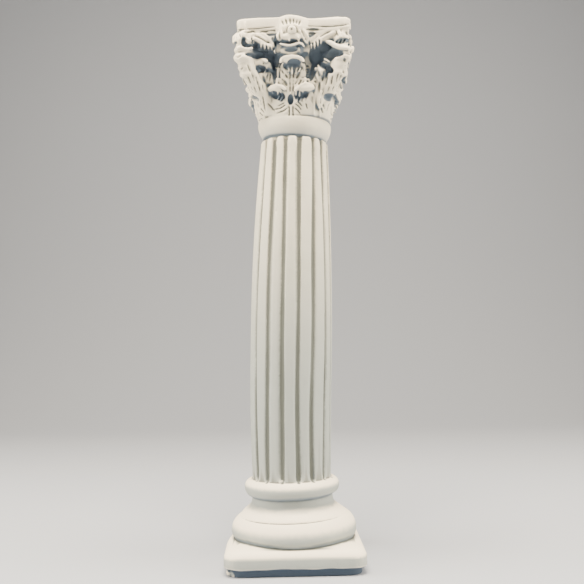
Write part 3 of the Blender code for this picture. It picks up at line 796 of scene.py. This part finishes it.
fins((
    (0.34, 25.8, 22.8, 246.2, 37.4, 247, 43.6), (0.4, 25.6, 22.8, 250.6, 38, 250.4, 44),
    (0.34, 25.4, 22.8, 253.6, 39, 253.2, 44.6), (0.38, 24.6, 18.4, 261.4, 43.6, 260.8, 49.4),
    (0.4, 24.4, 17.4, 264.4, 44.2, 264.8, 50.6), (0.38, 24.2, 17, 267.8, 45, 268.6, 51),
    (0.36, 24, 17, 271, 46.6, 272.4, 51.6), (0.34, 23.8, 17, 274, 49.4, 275.2, 54.4),
    (0.38, 24, 17, 310.8, 44, 311.4, 49.6), (0.42, 24, 17, 314.2, 42.6, 314.6, 49.6),
    (0.4, 24.2, 17.4, 317.6, 41, 317.8, 47.4), (0.38, 24.4, 18, 321.2, 39.6, 320.8, 45.4),
    (0.34, 24.2, 19.6, 324.4, 43, 325.4, 48.5), (0.34, 24.6, 20.6, 323.4, 58.4, 327, 60.4, 330.6, 62.6),
    (0.3, 20, 17, 312.2, 62, 314.6, 55, 315.6, 50), (0.3, 20.4, 17.4, 319, 60, 320.6, 54),
    (0.3, 20.2, 17.4, 266, 59, 268.2, 55.6, 268.8, 53),
    (0.55, 27, 25.2, 279.4, 43.6, 283, 44.6, 287, 45.5, 291, 45.4, 295, 44.4, 299, 42.8, 302.6, 44.2,
     304.4, 47.4), (0.34, 27.3, 24.2, 289.2, 38.6, 289.4, 42), (0.38, 27.3, 24.6, 297.4, 38, 298.8, 41.6),
    (0.3, 25.6, 23.2, 336.8, 44.2, 340.4, 38.8), (0.3, 25.6, 23.2, 340.4, 44.4, 343.8, 38.4),
    (0.3, 25.6, 23.2, 344, 44, 346.8, 38.6), (0.28, 25.6, 23.2, 333.6, 43, 336, 40.2),
), "flat")

# Fine strokes: teeth and striations that stand up
teeth = (
    (0.35, 0.2, 245.4, 38.3, 246.8, 43.8), (0.32, 0.2, 247.8, 37.8, 248.8, 42.4),
    (0.42, 0.2, 250, 37, 250.6, 42.6), (0.36, 0.2, 253, 38, 252.4, 43.6), (0.42, 0.2, 261.6, 43, 261, 47.4),
    (0.42, 0.2, 264.6, 43.6, 264.8, 49), (0.42, 0.2, 267.8, 44.4, 268.4, 49.4),
    (0.36, 0.2, 270.8, 45.4, 271.8, 49.2), (0.42, 0.2, 314.4, 42, 314.6, 47.6),
    (0.42, 0.2, 317.6, 40.4, 317.8, 45.4), (0.42, 0.2, 321.2, 38.4, 320.8, 43.8),
    (0.36, 0.2, 311.2, 43.6, 311.6, 47.4), (0.32, 0.2, 335.5, 43.4, 338.8, 39.2),
    (0.32, 0.2, 339, 44, 342.3, 39), (0.32, 0.2, 342.5, 44, 345.6, 38.6),
    (0.3, 0.2, 345.6, 43.4, 347.6, 39), (0.36, 0.3, 289.4, 38, 289.4, 41.6),
    (0.4, 0.2, 297.6, 36.5, 299.4, 40.8), (0.45, 0.2, 320, 70, 322.4, 77),
    (0.42, 0.2, 315.4, 70, 316.4, 74, 318, 80), (0.4, 0.2, 298.6, 45.5, 299.2, 51),
    (0.4, 0.1, 266.4, 72, 266.8, 77),
)
carve([(1.15 * radius, *rest) for radius, *rest in teeth], True, 0.2, 0.45)


# Fine strokes: veins, creases and tool marks that are cut in. Those listed together share a lift.
def lifted(lift, *rows):
    return [(radius, lift, *path) for radius, *path in rows]


veins = lifted(
    0.1,
    (0.46, 289.9, 70, 289.8, 80, 290.1, 92), (0.46, 293.4, 68, 293.2, 78, 293, 91),
) + lifted(
    0,
    (0.52, 282.8, 63, 285.4, 66.4, 287.6, 70), (0.58, 281.2, 78, 284, 81.6, 287.2, 85.6),
    (0.44, 283.6, 72, 286, 75.4, 288.6, 78.6), (0.3, 285.8, 70.6, 288.7, 75.4),
    (0.32, 281.4, 82, 284.4, 85.6), (0.3, 281.4, 70, 283.6, 75), (0.5, 300.4, 72, 298, 75.6, 295.4, 79.4),
    (0.42, 298, 69.6, 295.2, 74.4), (0.46, 299, 77.4, 297, 80.8, 294.8, 84.6),
    (0.4, 301.6, 79, 298.6, 84.8), (0.3, 301.8, 66.6, 300.6, 70.6), (0.28, 299.8, 83.6, 296.6, 88),
) + lifted(
    -0.3,
    (0.75, 272, 60, 273.6, 66, 274.8, 72, 275.4, 77, 275.2, 84), (0.85, 314.8, 64, 313, 71, 310.6, 80.4),
) + lifted(
    0,
    (0.4, 313, 79.4, 316, 82.6), (0.45, 325.5, 69, 324, 74, 322.3, 81), (0.34, 316.7, 69.2, 319.4, 76),
    (0.34, 306.2, 66.2, 309.4, 66.4), (0.34, 305.8, 69.4, 309, 69.6), (0.34, 306.2, 72.2, 309, 72.4),
    (0.3, 306.2, 75, 308.6, 75.2), (0.3, 306.2, 78, 308.8, 78.4), (0.3, 306.2, 81, 309.2, 81.6),
    (0.34, 254.6, 35.9, 259, 37.4, 264, 40.2, 268.6, 43.2), (0.36, 319.4, 37, 325, 33.6, 330.6, 31.2),
    (0.26, 238.8, 29.8, 246, 29.3, 256, 28.6, 266, 27.8, 275, 27.2),
    (0.3, 307.4, 26, 318, 26.6, 330, 26.6, 341, 25.6, 349, 24.2), (0.24, 238.6, 32.4, 241, 38, 240.4, 44),
    (0.24, 235.6, 33, 236, 40, 237.4, 45), (0.24, 340.4, 29.6, 342.4, 35), (0.24, 345.6, 28.6, 346.6, 36),
    (0.22, 336, 31, 338.6, 36.4), (0.36, 251.8, 37.6, 251.6, 42.4), (0.45, 263, 45, 263, 49),
    (0.45, 266.2, 45.6, 266.6, 50), (0.45, 316, 42.4, 316.2, 47.4), (0.45, 319.4, 40.4, 319.4, 45.6),
    (0.36, 234, 56, 237.6, 57.4, 241.6, 54.8), (0.3, 240.6, 70, 243.6, 66.6), (0.3, 235, 49.6, 237.4, 47.6),
    (0.34, 343, 53.2, 346.6, 53.4), (0.38, 243.4, 32.2, 252, 32, 262, 31.8, 268, 31.6),
    (0.42, 306.4, 29.4, 312, 29.6, 318.6, 29.6), (0.36, 308.4, 33, 315, 33.4),
    (0.4, 301.4, 31, 304.4, 36.6, 307.6, 42.6), (0.36, 279.4, 30, 279.2, 35, 280, 39),
    (0.4, 281.6, 20.4, 283.6, 25), (0.44, 285.6, 19.2, 287, 24.4), (0.5, 289.8, 18.6, 290.6, 24),
    (0.46, 293.6, 18.6, 293.4, 23.8), (0.44, 297.2, 19.4, 296, 24), (0.38, 300.4, 20.6, 298.4, 25),
    (0.34, 287, 32.6, 286.6, 29, 288.2, 25.8, 292, 24.6, 295.6, 25.8, 297.2, 29, 297, 32.6),
    (0.38, 256, 76, 258.6, 86), (0.42, 262.6, 73.6, 264.6, 82), (0.34, 251.4, 72, 254.8, 82),
    (0.42, 268.2, 74, 267, 80.6), (0.38, 271, 73.6, 269.2, 82), (0.34, 247.6, 64.6, 250.4, 72),
    (0.38, 338.4, 72.6, 336.4, 82), (0.38, 332.6, 75, 331, 85), (0.34, 327.4, 76, 325.6, 85),
    (0.55, 344.2, 58.4, 344.8, 61.6), (0.5, 343.4, 70.6, 344, 73.6), (0.3, 247.5, 76, 251, 84),
    (0.28, 253.4, 74.5, 256, 81), (0.32, 258.6, 85, 260.2, 92), (0.28, 253.6, 86, 256.6, 93),
    (0.3, 262.4, 84, 263.6, 91), (0.28, 259.4, 98, 261.4, 106), (0.28, 257, 103, 260, 110),
    (0.3, 341.5, 74.5, 338.6, 80.5), (0.28, 329.6, 86, 327.6, 92), (0.3, 334, 86, 332, 92.4),
    (0.28, 338.6, 84, 336.2, 90), (0.28, 330.2, 104.6, 331.8, 110.4),
)
carve([(1.45 * radius, lift - 0.12, *path) for radius, lift, *path in veins], False, 0.2, 0.5)
lowVeins = lifted(
    0,
    (0.36, 272, 109.6, 279.6, 108.6, 285.8, 104.6), (0.36, 276, 113.4, 283.5, 111, 287.8, 107.6),
    (0.3, 277.6, 106.4, 284.6, 102.8), (0.34, 294.7, 103.4, 298.6, 106, 301.4, 110),
    (0.34, 294, 107.6, 297.4, 110, 300.4, 114), (0.3, 297.6, 101.6, 302.6, 106.6),
    (0.36, 262.6, 96, 263.8, 103, 265, 112), (0.3, 267.5, 103, 271.4, 107, 275.4, 112.6),
    (0.4, 319, 101, 320.4, 107, 323.2, 113.4), (0.3, 322.6, 104, 325.4, 111),
    (0.28, 317.8, 107, 319.6, 114), (0.3, 305.6, 103, 307.4, 109),
    (0.4, 288.9, 104.5, 289.3, 110, 289.2, 116), (0.38, 293, 104.5, 292.8, 110, 293.2, 116),
)
carve([(1.3 * radius, lift - 0.15, *path) for radius, lift, *path in lowVeins], False, 0.2, 0.5, turns=lowRow)
carve(((0.5, -0.2, 291.3, 29, 291.8, 29.2), (0.45, -0.1, 262.8, 64, 263.3, 64)), False, 0.2, 1.0)


# A thin slot cut round everything that stands out further than a radius
def cutSlot(radius, height, tilt, half):
    x = xs[:, None] - float(shiftOf(height))
    for k in layersBetween(height - 4, height + 4):
        gap = np.maximum(radius - np.hypot(x, ys[None, :]), np.abs(zs[k] - height - tilt * x) - half)
        field[:, :, k] = cutAway(field[:, :, k], gap, 0.12)


cutSlot(17.7, 212.2, -0.043, 0.28)  # between the leaves and the neck ring

# The chipped corner of the foot is partly filled, crumbs stick to the shaft's foot, and the shaft and
# that corner have small pits
mould(((229.6, 572.2, 3.4, 3.4, 0, -0.6, 2.2),), True, 0.5, "on", frontOnly)
mould((
    (281.8, 481.4, 1.7, 1, 20, 0.1, 0.5), (279.4, 482.2, 0.9, 0.7, 0, 0.1, 0.4),
), True, 0.2, "on", frontOnly)
mould((
    (276, 211, 1.1, 0.9, 0, 0, 0.35), (229.6, 570.6, 1.4, 1.2, 30, 0, 0.7),
), False, 0.15, "on", frontOnly)
print("veins and tool marks cut")

softened(796, None, 1)  # the layers from 197.5 mm up: the ring and the capital
softened(0, 168, 1)  # those up to 40.5 mm: the plinth and the base
field[:] = np.maximum(field, -zs[None, None, :])
print("surfaces softened")

# From the grid to a mesh of triangles
skin = dict(triangles=195000)


def meshFromField():
    grid = vdb.FloatGrid(background=band)
    grid.copyFromArray(field)
    points, tris, quads = grid.convertToPolygons(isovalue=0.0, adaptivity=0.0)
    points = (points * cell + low) / 1000
    mesh = bpy.data.meshes.new("columnCast")
    faces = [tuple(f) for f in tris.tolist()] + [tuple(f) for f in quads.tolist()]
    mesh.from_pydata(points.tolist(), [], faces)
    return makeObject("columnCast", mesh), 2 * len(quads) + len(tris)


def applied(piece):
    graph = bpy.context.evaluated_depsgraph_get()
    mesh = bpy.data.meshes.new_from_object(piece.evaluated_get(graph))
    piece.modifiers.clear()
    piece.data = mesh


# Loose crumbs that the carving left beside the casting are dropped
def dropCrumbs(piece):
    shell = bmesh.new()
    shell.from_mesh(piece.data)
    left, islands = set(shell.verts), []
    while left:
        island, edge = set(), [left.pop()]
        while edge:
            vert = edge.pop()
            island.add(vert)
            for link in vert.link_edges:
                other = link.other_vert(vert)
                if other in left:
                    left.remove(other)
                    edge.append(other)
        islands.append(island)
    islands.sort(key=len)
    crumbs = [vert for island in islands[:-1] for vert in island]
    bmesh.ops.delete(shell, geom=crumbs, context="VERTS")
    shell.to_mesh(piece.data)
    shell.free()
    print("crumbs dropped:", len(islands) - 1, "of", len(crumbs), "points")


cast, startCount = meshFromField()
print("grid turned to mesh:", startCount, "triangles")
thinner = cast.modifiers.new("thinner", "DECIMATE")
thinner.ratio = min(1.0, skin["triangles"] / startCount)
applied(cast)
dropCrumbs(cast)
print("mesh thinned:", sum(len(p.vertices) - 2 for p in cast.data.polygons), "triangles")

# Four readings at each point of the surface, which the finish uses to place painted light and shade.
# Sky: how much light from above reaches it, about 1 on top and 0.45 on a plain upright face. Open:
# how freely it looks out, 1 on a plain face and less in a hollow. Crease: above 0.5 where the surface
# folds in, below it on an edge, and set by depth alone in the flutes. Under: 1 on the band at the
# foot, which gets painted shadow, but for its chipped corner.
reading = dict(
    ways=64, swing=2.39996,  # directions out of a point, each turned on by the golden angle
    reaches=(0.8, 1.3, 1.9, 2.7, 3.8, 5.2, 7.0, 9.5, 13.0),
    creaseReach=0.75, creaseBand=0.6,
    flutesFrom=40.5, flutesTo=201,
    underTop=3.5,
)


def markHollows(piece):
    mesh = piece.data
    count = len(mesh.vertices)
    points, normals = readOut(mesh.vertices, "co", 3) * 1000, readOut(mesh.vertices, "normal", 3)
    x, y, z = points.T
    turn = np.arange(reading["ways"]) * reading["swing"]
    height = 1 - 2 * (np.arange(reading["ways"]) + 0.5) / reading["ways"]
    flat = np.sqrt(1 - height**2)
    ways = np.stack([flat * np.cos(turn), flat * np.sin(turn), height], 1)
    seen, most, crease = np.zeros(count), 0.0, np.zeros(count)
    opened, whole = np.zeros(count), np.zeros(count)
    for way in ways.astype(np.float32):
        near = fieldBetween(points + way * reading["creaseReach"])
        crease += np.clip(0.5 - near / reading["creaseBand"], 0, 1)
        facing = np.maximum(normals @ way, 0)
        free = np.ones(count, bool)
        for reach in reading["reaches"]:
            free &= fieldAt(points + way * reach) > -0.1
        opened += facing * free
        whole += facing
        share = 0.3 + max(float(way[2]), 0.0)
        seen += facing * free * share * (way[2] > -0.3)
        most += max(float(way[2]), 0.0) * share
    shade = 0.7 * opened / whole + 0.3 * np.minimum(seen / most / 0.45, 1.0)
    chip = (x < -27.6 + 0.8 * np.sin(z * 4.1)) & (y < -24)
    under = np.where((z < reading["underTop"]) & ~chip, 1.0, 0.0)
    # Painted shade: the walls and floors of the cut hollows count as less open, so they are painted darker
    for centre, rows, sizes in hollows:  # their walls and floors
        across, up, deep = (rows @ (points - centre).T) / np.array(sizes)[:, None]
        inside = ease((1.35 - across**2 - up**2) / 0.35) * ease((0.25 - deep) / 0.6) * (deep > -1.3)
        shade = np.minimum(shade, 1 - 0.5 * inside)
    crease = crease / len(ways)
    # In the flutes the crease reading follows the depth of the cut: painted shade in them, and a painted
    # highlight in a thin line along their edges
    off = x - shiftOf(z)
    sunk = shaftRadius(z + off * leanOf(z)) - np.hypot(off, y)  # mm, how deep in the shaft
    flute = 0.5 + 0.062 * ease((sunk - 0.16) / 0.30) + 0.07 * ease((sunk - 0.62) / 0.60)
    flute = flute - 0.08 * ease((sunk - 0.01) / 0.05) * ease((0.16 - sunk) / 0.06)
    fluted = (z > reading["flutesFrom"]) & (z < reading["flutesTo"])
    crease = np.where(fluted, np.minimum(np.maximum(crease, flute), flute + 0.004), crease)
    edges = readOut(mesh.edges, "vertices", 2, np.int32)
    one, other = edges.T
    links = np.bincount(edges.ravel(), minlength=count)

    def evened(value, passes):
        for _ in range(passes):
            near = np.bincount(one, value[other], count) + np.bincount(other, value[one], count)
            value = 0.5 * value + 0.5 * near / np.maximum(links, 1)
        return value

    readings = dict(sky=(seen / most, 2), open=(shade, 2), crease=(crease, 1), under=(under, 1))
    for name, (value, passes) in readings.items():
        value = evened(value, passes)
        layer = mesh.attributes.new(name, "FLOAT", "POINT")
        layer.data.foreach_set("value", value.astype(np.float32))
        print(name, np.percentile(value, (1, 5, 10, 25, 50, 75, 90, 99)).round(3))


markHollows(cast)
for face in cast.data.polygons:
    face.use_smooth = True
print("hollows marked")


def linearColour(text):
    parts = [int(text[i:i + 2], 16) / 255 for i in (1, 3, 5)]
    return [c / 12.92 if c <= 0.04045 else ((c + 0.055) / 1.055) ** 2.4 for c in parts] + [1.0]


def addNode(tree, kind, settings=None, inputs=None, links=None):
    node = tree.nodes.new("ShaderNode" + kind)
    for name, value in (settings or {}).items():
        setattr(node, name, value)
    for name, value in (inputs or {}).items():
        node.inputs[name].default_value = value
    for name, source in (links or {}).items():
        tree.links.new(source, node.inputs[name])
    return node


# Gypsum casting plaster, poured into a flexible mould and left bare: matt and chalky, with pin-holes
# left by air in the mix. Its colour carries painted light and shade: a yellowish white painted
# highlight where the light strikes it, on the capital, on tops and along edges, and cooler painted
# shade towards the foot, in creases and hollows, where the ring and the base face down, and on the
# band at the foot
plaster = dict(
    body="#E1DAC4", warm="#F8EDD4", dust="#D6CEB8",
    handled="#A0A6A1",  # painted shade: greyer towards the foot, where less light reaches
    # painted shade: darker in creases and in hollows, and somewhat less dark in the deepest hollows
    groove="#5C6059", slate="#6B7986", deep="#8896A4",
    shade="#98A0A6",  # painted shade: cooler and darker where the ring and the base face down
    foot="#414F60",  # painted shadow: the undercut band at the foot, dark as in its own shade
    roughness=0.86, ior=1.52,
    cloud=14,  # mm
    pinHole=0.5, grain=0.35,  # mm; real pores are about 0.1 mm, drawn coarser so that they show
    swell=4.5,  # mm, the slow unevenness of a cast from a hand-cut mould
    relief=0.00022, pores=0.0003,  # m
    tints=(  # colour, reading, where it starts and ends, its most, and heights in m
        ("dust", "cloud", 0.4, 0.7, 0.5),
        # painted shade: greyer towards the foot
        ("handled", "height", 0.205, 0.075, 1.0),
        # painted light: lighter on the capital, on tops that face the light, and along edges
        ("warm", "height", 0.2125, 0.2185, 0.5),
        ("warm", "sky", 0.46, 0.70, 0.95),
        ("warm", "crease", 0.47, 0.37, 0.9),
        # painted shade: in creases and hollows, where the ring and the base face down, and on the foot band
        ("groove", "crease", 0.515, 0.62, 0.9),
        ("groove", "open", 0.76, 0.58, 0.45),
        ("shade", "sky", 0.34, 0.10, 0.75, 0.2135, 0.2115),
        ("slate", "open", 0.71, 0.46, 1.0),
        ("deep", "open", 0.36, 0.14, 0.9),
        ("foot", "under", 0.3, 0.7, 1.0),
    ),
)


def plasterMaterial():
    material = bpy.data.materials.new("castGypsumPlaster")
    material.use_nodes = True
    tree = material.node_tree
    tree.nodes.clear()
    place = addNode(tree, "TexCoord").outputs["Object"]

    def noise(size, detail):
        scale = dict(Scale=1000 / size, Detail=detail)
        return addNode(tree, "TexNoise", None, scale, dict(Vector=place)).outputs["Fac"]

    def share(source, start, end, most):
        span = {"From Min": start, "From Max": end, "To Min": 0.0, "To Max": most}
        kind = dict(interpolation_type="SMOOTHSTEP")
        return addNode(tree, "MapRange", kind, span, dict(Value=source)).outputs[0]

    def tinted(ground, colour, amount):
        mix = addNode(tree, "Mix", dict(data_type="RGBA"), {7: linearColour(colour)}, dict(Factor=amount))
        if isinstance(ground, str):
            mix.inputs[6].default_value = linearColour(ground)
        else:
            tree.links.new(ground, mix.inputs[6])
        return mix.outputs[2]

    sources = {name: addNode(tree, "Attribute", dict(attribute_name=name)).outputs["Fac"]
               for name in ("crease", "sky", "open", "under")}
    sources["cloud"] = noise(plaster["cloud"], 3.0)
    sources["height"] = addNode(tree, "SeparateXYZ", None, None, dict(Vector=place)).outputs["Z"]
    colour = plaster["body"]
    for name, source, start, end, most, *heights in plaster["tints"]:
        amount = share(sources[source], start, end, most)
        if heights:
            limit = share(sources["height"], *heights, 1.0)
            amount = addNode(tree, "Math", dict(operation="MULTIPLY"), None, {0: amount, 1: limit}).outputs[0]
        colour = tinted(colour, plaster[name], amount)
    grain, swell = noise(plaster["grain"], 2.0), noise(plaster["swell"], 1.0)
    holes = addNode(tree, "TexVoronoi", None, dict(Scale=1000 / (plaster["pinHole"] * 6)), dict(Vector=place))
    sunk = share(holes.outputs["Distance"], 0.0, 0.16, 1.0)
    relief = addNode(tree, "Math", dict(operation="MULTIPLY_ADD"), {1: 0.5}, {0: grain, 2: sunk})
    broad = addNode(tree, "Bump", None, dict(Strength=1.0, Distance=plaster["relief"]), dict(Height=swell))
    bump = addNode(tree, "Bump", None, dict(Strength=0.3, Distance=plaster["pores"]),
                   dict(Height=relief.outputs[0], Normal=broad.outputs["Normal"]))
    surface = addNode(tree, "BsdfPrincipled", None, dict(Roughness=plaster["roughness"], IOR=plaster["ior"]),
                      {"Base Color": colour, "Normal": bump.outputs["Normal"]})
    addNode(tree, "OutputMaterial", None, None, dict(Surface=surface.outputs[0]))
    return material


cast.data.materials.clear()
cast.data.materials.append(plasterMaterial())
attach(cast, "root")
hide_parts("plaster_column")
print("plaster finish made")

# Floor and light
stage = dict(
    floor="#ABB0B9", halfWidth=1.5, front=-2.0, bendStart=0.55, bendRadius=0.5, wallTop=2.2, steps=12,
)


def makeStage():
    side, start, radius, top = stage["halfWidth"], stage["bendStart"], stage["bendRadius"], stage["wallTop"]
    line = [(stage["front"], 0.0), (start, 0.0)]
    for i in range(1, stage["steps"] + 1):
        a = math.pi / 2 * i / stage["steps"]
        line.append((start + radius * math.sin(a), radius - radius * math.cos(a)))
    line.append((start + radius, top))
    points = [(x, y, z) for y, z in line for x in (-side, side)]
    faces = [(2 * i, 2 * i + 1, 2 * i + 3, 2 * i + 2) for i in range(len(line) - 1)]
    mesh = bpy.data.meshes.new("studioFloor")
    mesh.from_pydata(points, [], faces)
    for face in mesh.polygons:
        face.use_smooth = True
    material = bpy.data.materials.new("paleBackdropPaper")
    material.use_nodes = True
    surface = material.node_tree.nodes["Principled BSDF"]
    surface.inputs["Base Color"].default_value = linearColour(stage["floor"])
    surface.inputs["Roughness"].default_value = 0.9
    mesh.materials.append(material)
    floor = makeObject("studioFloor", mesh)


makeStage()

lights = dict(
    above=dict(place=(-0.02, -0.20, 0.80), target=(0, 0, 0.17), size=0.42, power=26.0, colour="#FFF0D8"),
    left=dict(place=(-0.55, -0.12, 0.32), target=(0, 0, 0.18), size=0.40, power=7.6, colour="#FFF3E0"),
    right=dict(place=(0.55, -0.12, 0.32), target=(0, 0, 0.18), size=0.40, power=7.2, colour="#FFF3E0"),
)
room = dict(colour="#E4E8EE", strength=0.18)


def makeLight(name, place, target, size, power, colour):
    lamp = bpy.data.lights.new(name, "AREA")
    lamp.size, lamp.energy = size, power
    lamp.color = linearColour(colour)[:3]
    light = makeObject(name, lamp)
    light.location = place
    light.rotation_euler = (Vector(target) - Vector(place)).to_track_quat("-Z", "Y").to_euler()


for name, values in lights.items():
    makeLight("soft" + name.capitalize(), **values)
world = bpy.data.worlds.new("studioRoom")
world.use_nodes = True
background = world.node_tree.nodes["Background"]
background.inputs["Color"].default_value = linearColour(room["colour"])
background.inputs["Strength"].default_value = room["strength"]
bpy.context.scene.world = world
print("stage and lights set")
